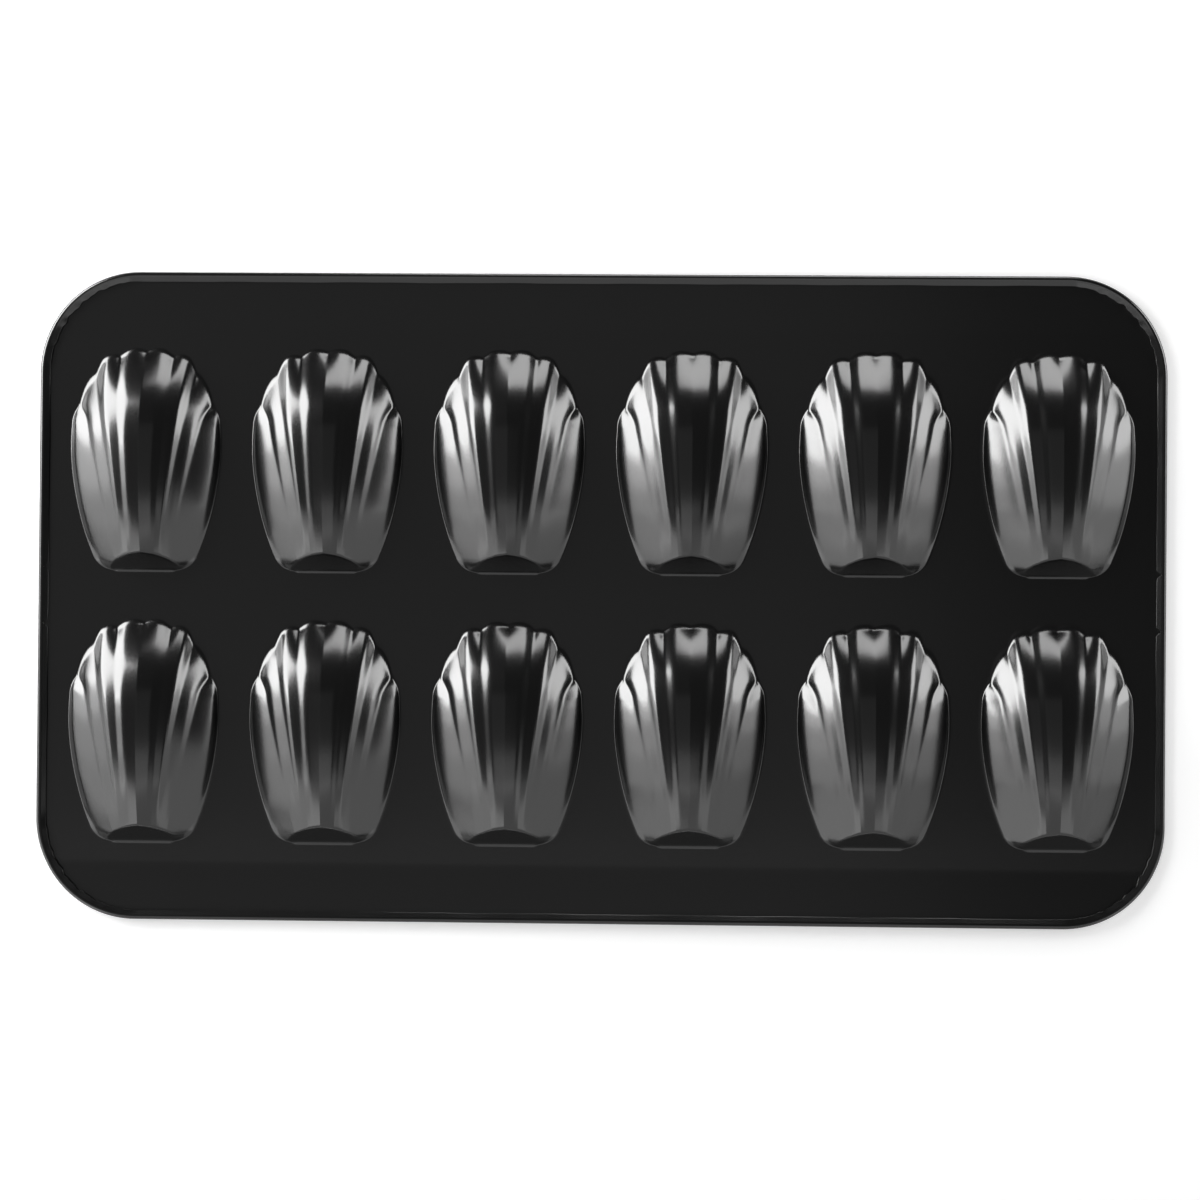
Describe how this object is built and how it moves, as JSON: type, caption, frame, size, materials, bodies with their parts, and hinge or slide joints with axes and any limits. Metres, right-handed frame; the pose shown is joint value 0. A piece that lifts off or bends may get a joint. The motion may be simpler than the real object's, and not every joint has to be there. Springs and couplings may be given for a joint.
{
  "type": "madeleine pan",
  "caption": "Rectangular non-stick baking pan with rows of fluted, shell-shaped cavities and a rolled rim, lying upside down.",
  "frame": {"origin": "centre of the pan's outline, on the plane of the deck's cooking face", "axes": "+X along the long sides, +Y towards the scalloped ends of the shells, +Z out of the underside, the way the shells bulge"},
  "size_m": [0.39, 0.2246, 0.0158],
  "materials": {
    "nonstick_coating": "satin",
    "rim_wire": "drawn"
  },
  "bodies": {
    "root": {"pan_sheet": "nonstick_coating", "rim_wire_back": "rim_wire", "rim_wire_front": "rim_wire"}
  },
  "joints": []
}
